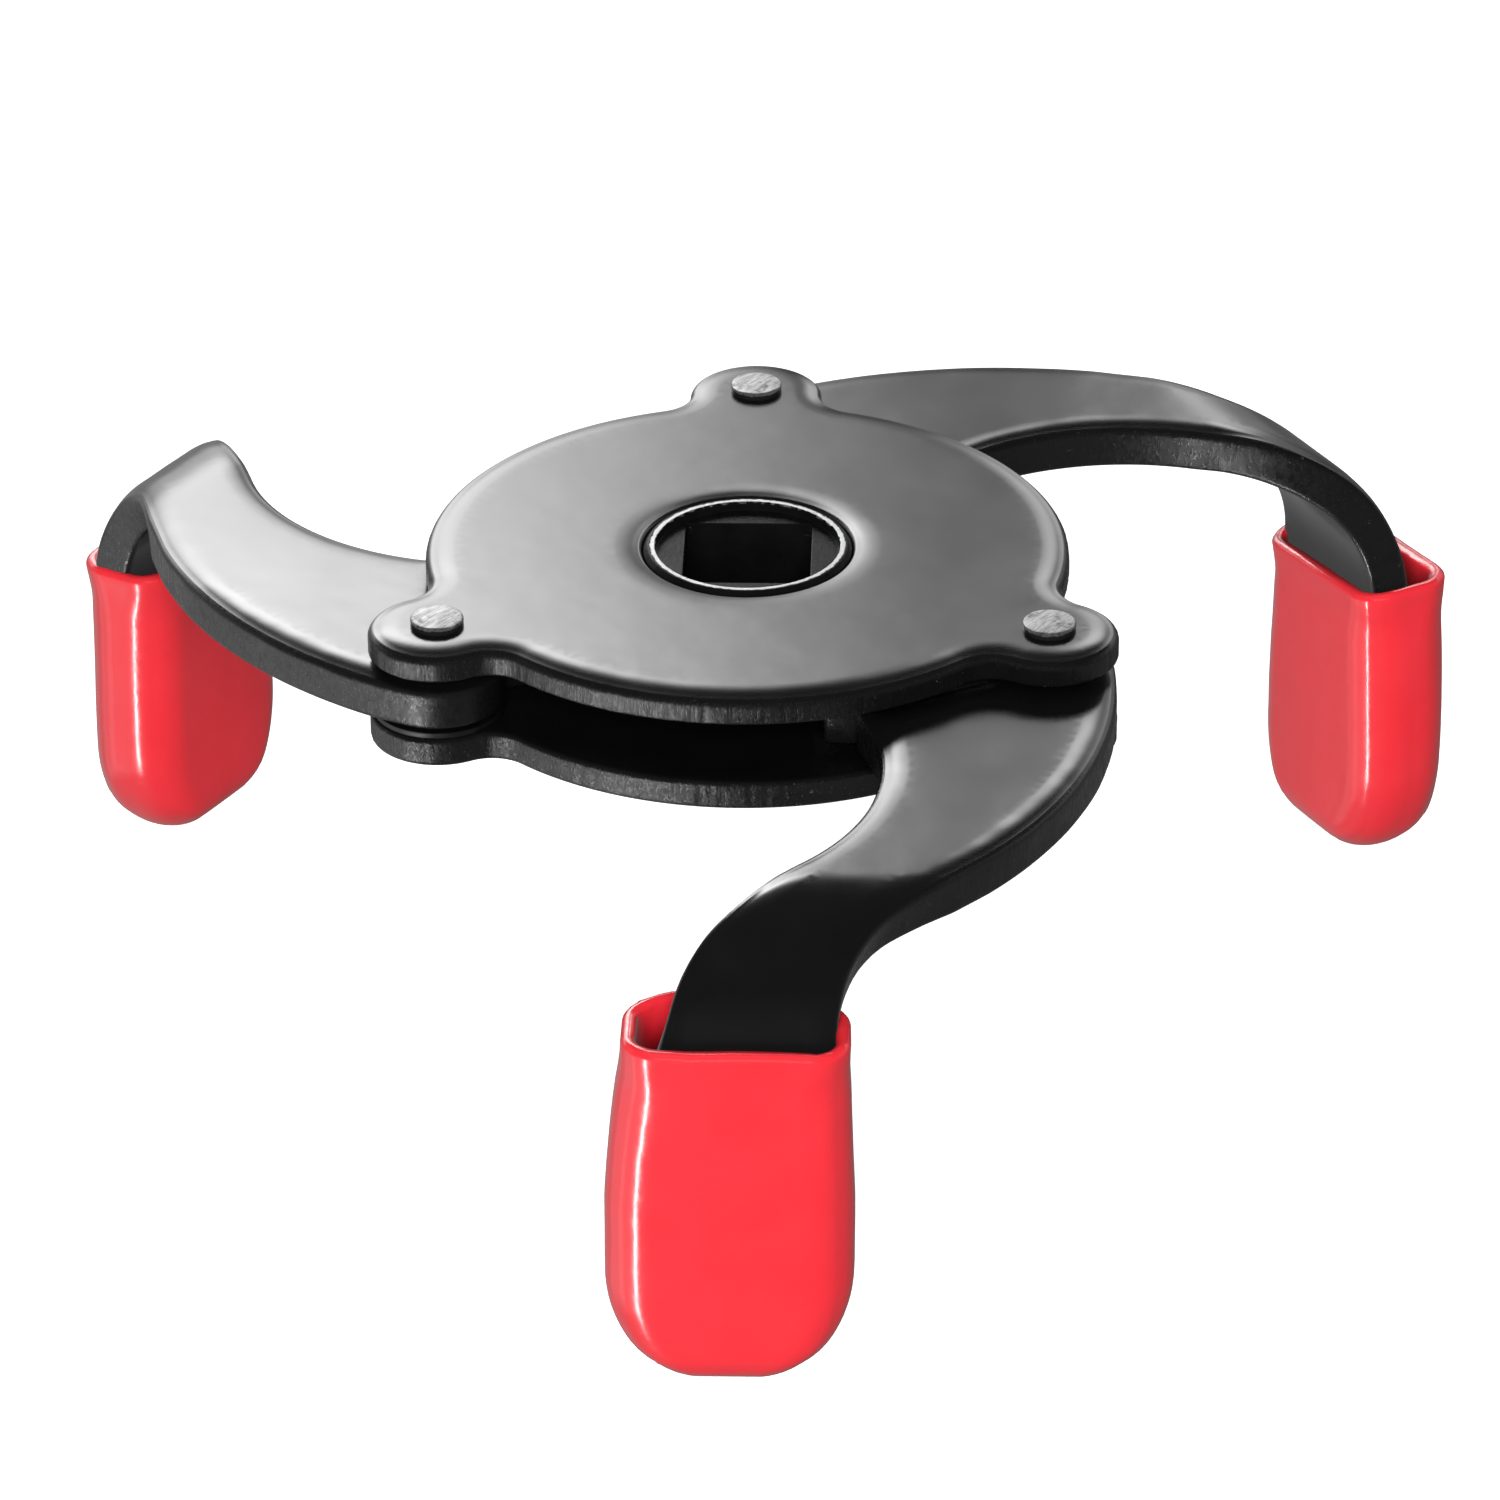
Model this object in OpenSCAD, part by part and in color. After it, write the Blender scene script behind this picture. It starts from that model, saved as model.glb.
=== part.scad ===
// Three-jaw oil filter wrench.
// A square-drive hub turns a pinion between two plates. The pinion swings three flat arms,
// and each arm ends in a leg, bent down and covered by a soft sleeve, that grips the filter.
// The origin is on the drive axis at the top face of the top plate, with +Z pointing at the driver.

/* [Plates] */
// Diameter of the round body of both plates
plate_d = 65; // [62:0.5:68]
// Thickness of the top plate
plate_top_t = 3; // [2.8:0.1:4]
// Clear gap between the plates
plate_gap = 6.4; // [6.2:0.1:7]
// Thickness of the bottom plate
plate_bottom_t = 3; // [2.5:0.1:4]
// Radius of the ear around each pivot
ear_r = 6.9; // [6.2:0.1:7.5]
// Radius of the fillet where an ear meets the round body
ear_fillet_r = 4; // [3:0.5:6]

/* [Drive hub] */
// Width across flats of the square socket
socket_w = 12.8; // [12.7:0.05:13]
// Radius of the round recess above the square socket
recess_r = 9.35; // [9.2:0.05:9.6]
// Depth of the round recess
recess_depth = 1; // [0.5:0.1:2]
// Radius of the hub's bearing journals
journal_r = 10.6; // [10.4:0.05:10.8]
// Width of the chamfer around the hub's rim
rim_chamfer = 0.5; // [0.2:0.1:0.6]

/* [Gearing] */
// Teeth on the pinion, a multiple of the number of arms
pinion_teeth = 15; // [15:3:15]
// Teeth that a whole wheel of the arm's sector would have
sector_wheel_teeth = 25; // [25:1:25]
// Teeth that the sector really has
sector_teeth = 5; // [5:1:6]
// Pressure angle of the teeth, in degrees
pressure_angle = 25; // [20:1:25]
// Play between two meshed teeth
backlash = 0.3; // [0.2:0.05:0.5]

/* [Arms] */
// Distance of the arm pivots from the drive axis
pivot_circle_r = 35; // [35:1:35]
// Thickness of the arm's steel strip
arm_t = 4.8; // [4.4:0.1:4.9]
// Radius of the arm's eye around its pivot
eye_r = 6.6; // [6:0.1:6.9]
// Distance of the middle of the leg from the drive axis
leg_distance = 73.1; // [71:0.1:74]
// Outer radius of the bend between the arm and its leg
bend_r = 16.5; // [14:0.5:17]
// Width of the leg
leg_w = 20.2; // [18:0.2:20.4]
// Height of the foot of the leg below the top plate
leg_foot_z = 48.6; // [44:0.2:52]
// Radius of the leg's bottom corners
leg_corner_r = 7; // [4:0.5:8]

/* [Pivots] */
// Radius of the rivet's shoulder, which the arm turns on
shoulder_r = 4; // [3.5:0.1:4.5]
// Radius of the rivet's ends, which pass through the plates
shank_r = 2.4; // [2:0.1:2.5]
// Radius of the rivet's heads
head_r = 2.65; // [2.5:0.05:3.2]
// Height of the rivet's heads above the plates
head_h = 0.85; // [0.5:0.05:1.2]
// Thickness of the spacing washer under the arm
washer_t = 0.6; // [0.5:0.05:0.7]

/* [Sleeves] */
// Width of the sleeve along the grip
sleeve_w = 23.8; // [23:0.1:24.5]
// Thickness of the sleeve, through the leg
sleeve_t = 10.6; // [9:0.1:11]
// Radius of the sleeve's upright corners
sleeve_corner_r = 3.5; // [3:0.1:4]
// Wall of the sleeve
sleeve_wall = 1.3; // [1:0.05:1.3]
// Mouth of the front sleeve, below the top plate
front_mouth_z = 13; // [12:0.1:15]
// Mouth of the right sleeve, which has slipped furthest down
right_mouth_z = 20.3; // [12:0.1:21]
// Mouth of the left sleeve
left_mouth_z = 18.3; // [12:0.1:21]
// Foot of the front sleeve, below the top plate
front_foot_z = 50.6; // [50.2:0.1:54]
// Foot of the right sleeve
right_foot_z = 53.2; // [50.2:0.1:54]
// Foot of the left sleeve
left_foot_z = 51.7; // [50.2:0.1:54]
// How much narrower the sleeve is at its mouth, on its trailing side
sleeve_taper = 1.8; // [0:0.1:2]

/* [Hidden] */

$fn = 96;
arms = 3;
arm_step = 360 / arms;
running_gap = 0.05;
side_gap = 0.2;
cut = 1;

// Heights, all below the origin
gap_top_z = -plate_top_t;
gap_bottom_z = gap_top_z - plate_gap;
stack_bottom_z = gap_bottom_z - plate_bottom_t;
washer_top_z = gap_bottom_z + washer_t;
arm_bottom_z = washer_top_z + side_gap;
arm_top_z = arm_bottom_z + arm_t;

// Gear geometry: the pinion and the sectors share the distance between the axes
gear_module = 2 * pivot_circle_r / (pinion_teeth + sector_wheel_teeth);
gear_root_clearance = 0.25;
flank_steps = 6;

// The arm is laid out for the leg that points to -Y. Its pivot is one half step before the leg.
pivot_angle = -90 + arm_step / 2;
pivot = pivot_circle_r * [cos(pivot_angle), sin(pivot_angle)];
hub_direction = pivot_angle + 180;
tooth_pitch = 360 / sector_wheel_teeth;
// The sector's teeth sit one half pitch off the line of centres, most of them on the closing side
first_tooth = hub_direction - tooth_pitch / 2;
sector_start = first_tooth - tooth_pitch / 2 + 2;
sector_end = first_tooth + (sector_teeth - 0.5) * tooth_pitch - 2;

// Outer edge of the arm: one large arc that touches the eye from outside, a blunt tip, then the neck's fillet
outer_centre = [-16.9, -20.85];
outer_r = norm(pivot - outer_centre) + eye_r;
outer_end = -46;
outer_tip_r = 30;
outer_tip_span = 6;
neck_outer_r = 15;
leg_right = 10.2;
leg_left = leg_right - leg_w;
outer_corner = [leg_right, -68.4];

// Inner edge of the arm: an arc that clears the next arm's eye, the neck's straight flank, and the leg's flare
inner_centre = [-12, -38.5];
inner_r = 25.8;
inner_start = 25;
inner_end = -45.5;
neck_inner_r = 20;
neck_corner = [-4.1, -68.1];
flare_corner = [leg_left, -88];

// Bend: the flat stops at fold_y, and the leg hangs below it. The strip keeps its length at mid thickness.
fold_y = leg_distance + arm_t / 2 - bend_r;
neutral_r = bend_r - arm_t / 2;
bend_length = neutral_r * PI / 2;
bend_steps = 16;
leg_length = leg_foot_z + arm_top_z - bend_r;
blank_end = fold_y + bend_length + leg_length;
leg_steps = 10;
corner_steps = 8;

// Sleeves: where the taper starts and ends, and how far the notch in the lip reaches down
taper_start_z = 13;
taper_end_z = 27;
notch_z = 15.5;
lip_clearance = 0.4;

function polar(r, a) = r * [cos(a), sin(a)];
function arc(centre, r, from, to, steps = 24) =
    [for (k = [0:steps]) centre + polar(r, from + (to - from) * k / steps)];

// Rounds one corner of a path: the arc that touches both lines, as a list of points
function unit(v) = v / norm(v);
function turn(u, v) = atan2(u.x * v.y - u.y * v.x, u * v);
function fillet(before, corner, after, r) =
    let (
        u = unit(corner - before),
        v = unit(after - corner),
        a = turn(u, v),
        side = sign(a),
        touch = corner - u * r * tan(abs(a) / 2),
        centre = touch + side * r * [-u.y, u.x],
        start = atan2(touch.y - centre.y, touch.x - centre.x)
    )
    arc(centre, r, start, start + a, corner_steps);

// Edges of the flat blank, from the pivot end to the foot of the leg
outer_start = atan2(pivot.y - outer_centre.y, pivot.x - outer_centre.x);
outer_arc = arc(outer_centre, outer_r, outer_start, outer_end + outer_tip_span);
outer_tip = outer_centre + polar(outer_r, outer_end);
outer_edge = concat(
    outer_arc,
    fillet(outer_arc[len(outer_arc) - 1], outer_tip, outer_corner, outer_tip_r),
    fillet(outer_tip, outer_corner, [leg_right, -blank_end], neck_outer_r),
    [[leg_right, -blank_end - cut]]
);
inner_tip = inner_centre + polar(inner_r, inner_end);
inner_edge = concat(
    arc(inner_centre, inner_r, inner_start, inner_end),
    fillet(inner_tip, neck_corner, flare_corner, neck_inner_r),
    fillet(neck_corner, flare_corner, [leg_left, -blank_end], neck_inner_r),
    [[leg_left, -blank_end - cut]]
);
function side_table(edge) = [for (p = edge) [-p.y, p.x]];
outer_table = side_table(outer_edge);
inner_table = side_table(inner_edge);

// Edges of the leg at a distance s along the blank, with the rounded bottom corners
function corner_inset(s) =
    let (d = max(0, s - (blank_end - leg_corner_r)))
    leg_corner_r - sqrt(max(0, pow(leg_corner_r, 2) - pow(d, 2)));
function right_at(s) = lookup(s, outer_table) - corner_inset(s);
function left_at(s) = lookup(s, inner_table) + corner_inset(s);

// Where the blank at distance s ends up once bent: the height and the distance of one face
function bent(s, face_r) =
    let (
        a = min(90, (s - fold_y) / bend_length * 90),
        drop = max(0, s - fold_y - bend_length)
    )
    [fold_y + face_r * sin(a), arm_top_z - bend_r + face_r * cos(a) - drop];

module at_arm(k) {
    rotate([0, 0, k * arm_step]) children();
}

module at_pivot() {
    translate([pivot.x, pivot.y, 0]) children();
}

module round_hole(r, top, bottom) {
    translate([0, 0, bottom - cut]) cylinder(r = r, h = top - bottom + 2 * cut);
}

module tube(outer, inner, top, bottom) {
    difference() {
        translate([0, 0, bottom]) cylinder(r = outer, h = top - bottom);
        round_hole(inner, top, bottom);
    }
}

// ---- Plates

// One ear of a plate, filleted into the round body
module ear_2d() {
    fillet_d = plate_d / 2 + ear_fillet_r;
    reach = ear_r + ear_fillet_r;
    spread = acos((pow(pivot_circle_r, 2) + pow(fillet_d, 2) - pow(reach, 2)) / (2 * pivot_circle_r * fillet_d));
    translate(pivot) circle(r = ear_r);
    difference() {
        polygon([
            [0, 0], polar(fillet_d, pivot_angle - spread), pivot, polar(fillet_d, pivot_angle + spread)
        ]);
        for (side = [-1, 1])
            translate(polar(fillet_d, pivot_angle + side * spread)) circle(r = ear_fillet_r);
    }
}

module plate(top, thickness) {
    difference() {
        translate([0, 0, top - thickness]) linear_extrude(thickness) {
            circle(d = plate_d);
            for (k = [0:arms - 1]) rotate(k * arm_step) ear_2d();
        }
        round_hole(journal_r + running_gap, top, top - thickness);
        for (k = [0:arms - 1]) at_arm(k) at_pivot() round_hole(shank_r, top, top - thickness);
    }
}

module top_plate() {
    color("#2b2b2d") plate(0, plate_top_t);
}

module bottom_plate() {
    color("#232325") plate(gap_bottom_z, plate_bottom_t);
}

// ---- Gear teeth

function involute(a) = tan(a) - a * PI / 180;

// One tooth that points along +X, as a list of points from its lower root to its upper root
function tooth(teeth) =
    let (
        pitch_r = gear_module * teeth / 2,
        base_r = pitch_r * cos(pressure_angle),
        root_r = pitch_r - (1 + gear_root_clearance) * gear_module,
        tip_r = pitch_r + gear_module,
        start_r = max(base_r, root_r),
        half_play = backlash / 4 / pitch_r * 180 / PI,
        half = 90 / teeth - half_play + involute(pressure_angle) * 180 / PI,
        flank = [for (k = [0:flank_steps])
            let (r = start_r + (tip_r - start_r) * k / flank_steps)
            [r, half - involute(acos(base_r / r)) * 180 / PI]]
    )
    concat(
        [polar(root_r - cut, -flank[0][1])],
        [for (p = flank) polar(p[0], -p[1])],
        [for (k = [flank_steps:-1:0]) polar(flank[k][0], flank[k][1])],
        [polar(root_r - cut, flank[0][1])]
    );

module pinion_2d() {
    circle(r = gear_module * (pinion_teeth / 2 - 1 - gear_root_clearance));
    for (k = [0:pinion_teeth - 1]) rotate(pivot_angle + k * 360 / pinion_teeth) polygon(tooth(pinion_teeth));
}

// ---- Drive hub

module drive_hub() {
    color("#3a3a3c") difference() {
        union() {
            rotate_extrude() polygon([
                [0, stack_bottom_z], [journal_r, stack_bottom_z],
                [journal_r, -rim_chamfer], [journal_r - rim_chamfer, 0], [0, 0]
            ]);
            translate([0, 0, gap_bottom_z + side_gap])
                linear_extrude(plate_gap - 2 * side_gap) pinion_2d();
        }
        translate([0, 0, -recess_depth]) cylinder(r = recess_r, h = recess_depth + cut);
        translate([-socket_w / 2, -socket_w / 2, stack_bottom_z - cut])
            cube([socket_w, socket_w, -stack_bottom_z + 2 * cut]);
    }
}

// ---- Arms

// The toothed sector, about the pivot
module sector_2d() {
    root_r = gear_module * (sector_wheel_teeth / 2 - 1 - gear_root_clearance);
    polygon(concat([[0, 0]], arc([0, 0], root_r, sector_start, sector_end)));
    for (k = [0:sector_teeth - 1]) rotate(first_tooth + k * tooth_pitch) polygon(tooth(sector_wheel_teeth));
}

module arm_flat_2d() {
    translate(pivot) {
        circle(r = eye_r);
        sector_2d();
    }
    polygon(concat(
        [pivot],
        [for (p = outer_edge) if (-p.y < fold_y) p],
        [[right_at(fold_y), -fold_y], [left_at(fold_y), -fold_y]],
        [for (k = [len(inner_edge) - 1:-1:0]) if (-inner_edge[k].y < fold_y) inner_edge[k]]
    ));
}

// The bent end of the arm: one ring of four points at each step along the blank
module leg() {
    steps = concat(
        [for (k = [0:bend_steps]) fold_y + bend_length * k / bend_steps],
        [for (k = [1:leg_steps]) fold_y + bend_length + (leg_length - leg_corner_r) * k / leg_steps],
        [for (k = [1:corner_steps]) blank_end - leg_corner_r * (1 - sin(90 * k / corner_steps))]
    );
    rings = [for (s = steps)
        let (
            outside = bent(s, bend_r),
            inside = bent(s, bend_r - arm_t),
            last = blank_end - leg_corner_r * 0.002,
            right = right_at(min(s, last)),
            left = left_at(min(s, last))
        )
        [
            [right, -outside.x, outside.y], [left, -outside.x, outside.y],
            [left, -inside.x, inside.y], [right, -inside.x, inside.y]
        ]
    ];
    count = len(rings);
    points = [for (ring = rings) each ring];
    walls = [for (k = [0:count - 2]) for (i = [0:3])
        [4 * k + i, 4 * k + 4 + i, 4 * k + 4 + (i + 1) % 4, 4 * k + (i + 1) % 4]];
    ends = [[0, 1, 2, 3], [for (i = [3:-1:0]) 4 * (count - 1) + i]];
    polyhedron(points, concat(walls, ends));
}

module arm() {
    color("#1d1d1f") difference() {
        union() {
            translate([0, 0, arm_bottom_z]) linear_extrude(arm_t) arm_flat_2d();
            leg();
        }
        at_pivot() round_hole(shoulder_r + running_gap, arm_top_z, arm_bottom_z);
    }
}

module arm_front() {
    at_arm(0) arm();
}

module arm_right() {
    at_arm(1) arm();
}

module arm_left() {
    at_arm(2) arm();
}

// ---- Sleeves

// Horizontal section: a rectangle with round corners, inset all round
module sleeve_section_2d(inset) {
    w = sleeve_w / 2 - inset;
    t = sleeve_t / 2 - inset;
    r = sleeve_corner_r - inset;
    square([2 * w, 2 * (t - r)], center = true);
    square([2 * (w - r), 2 * t], center = true);
    for (x = [-1, 1], y = [-1, 1]) translate([x * (w - r), y * (t - r)]) circle(r = r);
}

// Front outline, with the trailing side tapered towards the mouth and round bottom corners
module sleeve_outline_2d(inset, foot) {
    half = sleeve_w / 2 - inset;
    r = leg_corner_r + sleeve_wall - inset;
    polygon(concat(
        [[half, 0], [sleeve_taper - half, 0], [sleeve_taper - half, -taper_start_z], [-half, -taper_end_z]],
        arc([-half + r, foot + r], r, 180, 270, corner_steps),
        arc([half - r, foot + r], r, 270, 360, corner_steps)
    ));
}

// Side outline, with round bottom edges
module sleeve_side_2d(inset, foot) {
    half = sleeve_t / 2 - inset;
    r = sleeve_corner_r - inset;
    polygon(concat(
        [[half, 0], [-half, 0]],
        arc([-half + r, foot + r], r, 180, 270, corner_steps),
        arc([half - r, foot + r], r, 270, 360, corner_steps)
    ));
}

module sleeve_body(inset, top, foot_z) {
    foot = -foot_z + inset;
    intersection() {
        translate([0, 0, foot]) linear_extrude(top - foot) sleeve_section_2d(inset);
        rotate([90, 0, 0]) linear_extrude(sleeve_t + 2 * cut, center = true) sleeve_outline_2d(inset, foot);
        rotate([90, 0, 90]) linear_extrude(sleeve_w + 2 * cut, center = true) sleeve_side_2d(inset, foot);
    }
}

// Notch in the lip on the filter's side, where the arm's bend passes over it
module lip_notch() {
    from = left_at(fold_y + bend_length * 0.7) - lip_clearance;
    to = leg_right + lip_clearance;
    translate([from, sleeve_t / 2 - sleeve_wall - cut, -notch_z]) cube([to - from, sleeve_wall + 2 * cut, notch_z]);
}

module sleeve(mouth_z, foot_z) {
    color("#e8323c") translate([0, -leg_distance, 0]) difference() {
        sleeve_body(0, -mouth_z, foot_z);
        sleeve_body(sleeve_wall, -mouth_z + cut, foot_z);
        lip_notch();
    }
}

module sleeve_front() {
    at_arm(0) sleeve(front_mouth_z, front_foot_z);
}

module sleeve_right() {
    at_arm(1) sleeve(right_mouth_z, right_foot_z);
}

module sleeve_left() {
    at_arm(2) sleeve(left_mouth_z, left_foot_z);
}

// ---- Pivots

// A shouldered rivet: the wide middle keeps the plates apart, and the ends are headed over
module rivet() {
    color("#b9babc") at_pivot() rotate_extrude() polygon([
        [0, stack_bottom_z - head_h], [head_r, stack_bottom_z - head_h], [head_r, stack_bottom_z],
        [shank_r, stack_bottom_z], [shank_r, gap_bottom_z], [shoulder_r, gap_bottom_z],
        [shoulder_r, gap_top_z], [shank_r, gap_top_z], [shank_r, 0],
        [head_r, 0], [head_r, head_h], [0, head_h]
    ]);
}

module rivet_front() {
    at_arm(0) rivet();
}

module rivet_right() {
    at_arm(1) rivet();
}

module rivet_left() {
    at_arm(2) rivet();
}

module washer() {
    color("#8d8e90") at_pivot() tube(eye_r, shoulder_r + running_gap, washer_top_z, gap_bottom_z);
}

module washer_front() {
    at_arm(0) washer();
}

module washer_right() {
    at_arm(1) washer();
}

module washer_left() {
    at_arm(2) washer();
}

top_plate();
bottom_plate();
drive_hub();
arm_front();
arm_right();
arm_left();
sleeve_front();
sleeve_right();
sleeve_left();
rivet_front();
rivet_right();
rivet_left();
washer_front();
washer_right();
washer_left();
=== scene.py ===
"""Looks for the three-jaw oil filter wrench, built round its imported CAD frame."""

from collections import namedtuple
import math

import bpy
import numpy as np
from mathutils import Matrix, Vector, geometry, noise


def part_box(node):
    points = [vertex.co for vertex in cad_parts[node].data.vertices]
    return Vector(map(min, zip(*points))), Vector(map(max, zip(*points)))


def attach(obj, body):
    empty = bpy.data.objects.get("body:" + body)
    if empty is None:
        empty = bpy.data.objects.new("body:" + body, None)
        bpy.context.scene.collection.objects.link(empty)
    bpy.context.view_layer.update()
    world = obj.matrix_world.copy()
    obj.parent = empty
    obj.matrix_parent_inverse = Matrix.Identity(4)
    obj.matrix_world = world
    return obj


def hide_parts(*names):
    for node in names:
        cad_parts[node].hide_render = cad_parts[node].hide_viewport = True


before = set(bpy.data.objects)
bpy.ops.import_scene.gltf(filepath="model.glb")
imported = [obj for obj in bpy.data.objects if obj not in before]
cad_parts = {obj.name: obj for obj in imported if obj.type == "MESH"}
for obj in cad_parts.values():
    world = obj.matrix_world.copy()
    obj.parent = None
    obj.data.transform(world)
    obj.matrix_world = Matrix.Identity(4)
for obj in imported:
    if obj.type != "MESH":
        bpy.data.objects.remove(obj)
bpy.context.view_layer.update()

# ---- Driving sizes. Shapes are worked out in millimetres, and meshes are made in metres.
MM = 0.001
ARMS = ("front", "right", "left")
ARM_STEP = 120.0


def box_mm(node):
    """Lowest and highest corner of a CAD node, in millimetres."""
    low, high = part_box(node)
    return np.array(low) / MM, np.array(high) / MM


PLATE_R = 32.5
EAR_R = 6.9
EAR_FILLET_R = 4.0
HUB_HOLE_R = 10.65
PIVOT_R = 35.0
PIVOT_ANGLE = -90 + ARM_STEP / 2
PIVOT = PIVOT_R * np.array([math.cos(math.radians(PIVOT_ANGLE)), math.sin(math.radians(PIVOT_ANGLE))])
# Heights come from the CAD nodes, so that they follow any change to the frame
TOP_FACE = box_mm("top_plate")[1][2]
TOP_UNDERSIDE = box_mm("top_plate")[0][2]
BOTTOM_FACE = box_mm("bottom_plate")[1][2]
BOTTOM_UNDERSIDE = box_mm("bottom_plate")[0][2]
HEAD_TOP = box_mm("rivet_front")[1][2]
HEAD_BOTTOM = box_mm("rivet_front")[0][2]

EYE_R = 6.6
EYE_HOLE_R = 4.05
ARM_T = 4.8
ARM_TOP = box_mm("arm_front")[1][2]
BEND_R = 16.5
LEG_DISTANCE = 73.1
LEG_RIGHT = 10.2
LEG_LEFT = -10.0
LEG_CORNER_R = 7.0
LEG_FOOT = box_mm("arm_front")[0][2]
FOLD = LEG_DISTANCE + ARM_T / 2 - BEND_R
BEND_LENGTH = (BEND_R - ARM_T / 2) * math.pi / 2
BLANK_END = FOLD + BEND_LENGTH + (ARM_TOP - BEND_R - LEG_FOOT)

PINION_TEETH = 15
SECTOR_WHEEL_TEETH = 25
SECTOR_TEETH = 5
GEAR_MODULE = 2 * PIVOT_R / (PINION_TEETH + SECTOR_WHEEL_TEETH)
PRESSURE_ANGLE = 25.0
BACKLASH = 0.3
ROOT_CLEARANCE = 0.25

# Half the outside width and thickness of a sleeve, and its wall
SLEEVE_HALF_W = 11.9
SLEEVE_HALF_T = 5.3
SLEEVE_WALL = 1.3
FLOOR_Z = min(box_mm("sleeve_" + side)[0][2] for side in ARMS)

# ---- Plane geometry


def polar(r, a):
    """The point at radius r and angle a, in degrees."""
    return np.array([r * math.cos(math.radians(a)), r * math.sin(math.radians(a))])


def heading(v):
    return math.degrees(math.atan2(v[1], v[0]))


def arc(centre, r, start, stop, steps=48):
    """Points of an arc from one angle to another."""
    return [centre + polar(r, start + (stop - start) * k / steps) for k in range(steps + 1)]


def fillet(before, corner, after, r):
    """The arc of radius r that touches both lines of a corner."""
    u = (corner - before) / np.linalg.norm(corner - before)
    v = (after - corner) / np.linalg.norm(after - corner)
    a = math.degrees(math.atan2(u[0] * v[1] - u[1] * v[0], u @ v))
    side = math.copysign(1, a)
    touch = corner - u * r * math.tan(math.radians(abs(a) / 2))
    centre = touch + side * r * np.array([-u[1], u[0]])
    start = heading(touch - centre)
    return arc(centre, r, start, start + a, 20)


def turned(points, angle):
    """Plane points turned about the drive axis."""
    c, s = math.cos(math.radians(angle)), math.sin(math.radians(angle))
    return np.asarray(points) @ np.array([[c, s], [-s, c]])


def evenly(loop, step):
    """The same closed loop, with its points a step apart."""
    loop = np.asarray(loop)
    closed = np.vstack([loop, loop[:1]])
    length = np.concatenate([[0], np.cumsum(np.linalg.norm(np.diff(closed, axis=0), axis=1))])
    count = int(round(length[-1] / step))
    where = np.linspace(0, length[-1], count, endpoint=False)
    return np.stack([np.interp(where, length, closed[:, i]) for i in (0, 1)], axis=1)


def area(loop):
    """Area of a closed loop, negative where it runs clockwise."""
    x, y = np.asarray(loop).T
    return 0.5 * float(np.sum(x * np.roll(y, -1) - np.roll(x, -1) * y))


def inside(points, loop):
    """For each point, whether it is inside a closed loop."""
    points = np.asarray(points)
    loop = np.asarray(loop)
    result = np.zeros(len(points), bool)
    for a, b in zip(loop, np.roll(loop, -1, axis=0)):
        spans = (a[1] > points[:, 1]) != (b[1] > points[:, 1])
        if a[1] != b[1]:
            cross = a[0] + (points[:, 1] - a[1]) / (b[1] - a[1]) * (b[0] - a[0])
            result ^= spans & (points[:, 0] < cross)
    return result


def triangles(loops, extra=()):
    """Delaunay triangles of the plane, with the loops' edges kept."""
    points, edges = [], []
    for loop in loops:
        first = len(points)
        points += [Vector(p) for p in loop]
        edges += [(first + k, first + (k + 1) % len(loop)) for k in range(len(loop))]
    points += [Vector(p) for p in extra]
    made = geometry.delaunay_2d_cdt(points, edges, [], 0, 1e-7)
    return np.array([tuple(p) for p in made[0]]), [tuple(f) for f in made[2]], made[3]


def united(loops):
    """The outer loop of several overlapping closed loops."""
    points, faces, _ = triangles(loops)
    middles = np.array([points[list(f)].mean(axis=0) for f in faces])
    kept = np.zeros(len(faces), bool)
    for loop in loops:
        kept |= inside(middles, loop)
    following = {}
    edges = set()
    for f, keep in zip(faces, kept):
        if keep:
            edges |= {(f[i], f[(i + 1) % 3]) for i in range(3)}
    for a, b in edges:
        if (b, a) not in edges:
            following[a] = b
    best = []
    while following:
        a = next(iter(following))
        loop = []
        while a in following:
            loop.append(a)
            a = following.pop(a)
        if len(loop) > len(best):
            best = loop
    loop = points[best]
    return loop if area(loop) > 0 else loop[::-1]


def outward(loop):
    """Unit normals of a closed loop, pointing away from what it encloses."""
    along = np.roll(loop, -1, axis=0) - np.roll(loop, 1, axis=0)
    along = along / np.linalg.norm(along, axis=1, keepdims=True)
    normal = np.stack([along[:, 1], -along[:, 0]], axis=1)
    return normal if area(loop) > 0 else -normal


def smoothed(values, passes):
    """Values round a loop, each averaged with its neighbours."""
    for _ in range(passes):
        values = (np.roll(values, 1, axis=0) + values * 2 + np.roll(values, -1, axis=0)) / 4
    return values


def room_for(loop, normal, widest):
    """How far each point of a loop can be inset before it meets another stretch of the loop."""
    allowed = np.full(len(loop), 0.08)
    # Each trial is about 1.4 times the last, and holds where a disc of that radius still fits
    for reach in (0.12, 0.18, 0.26, 0.4, 0.6, 0.9, 1.3, 1.8, 2.4, 3.0):
        if reach > widest * 1.001:
            break
        moved = loop + normal * reach
        gap = np.min(np.linalg.norm(moved[:, None, :] - loop[None, :, :], axis=2), axis=1)
        allowed = np.where(gap > 0.94 * reach, reach, allowed)
    # Neighbours may differ by a small step only
    for _ in range(6):
        allowed = np.minimum(allowed, (np.roll(allowed, 1) + np.roll(allowed, -1)) / 2 + 0.02)
    return np.minimum(smoothed(allowed, 6), widest)


# ---- Meshes


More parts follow.
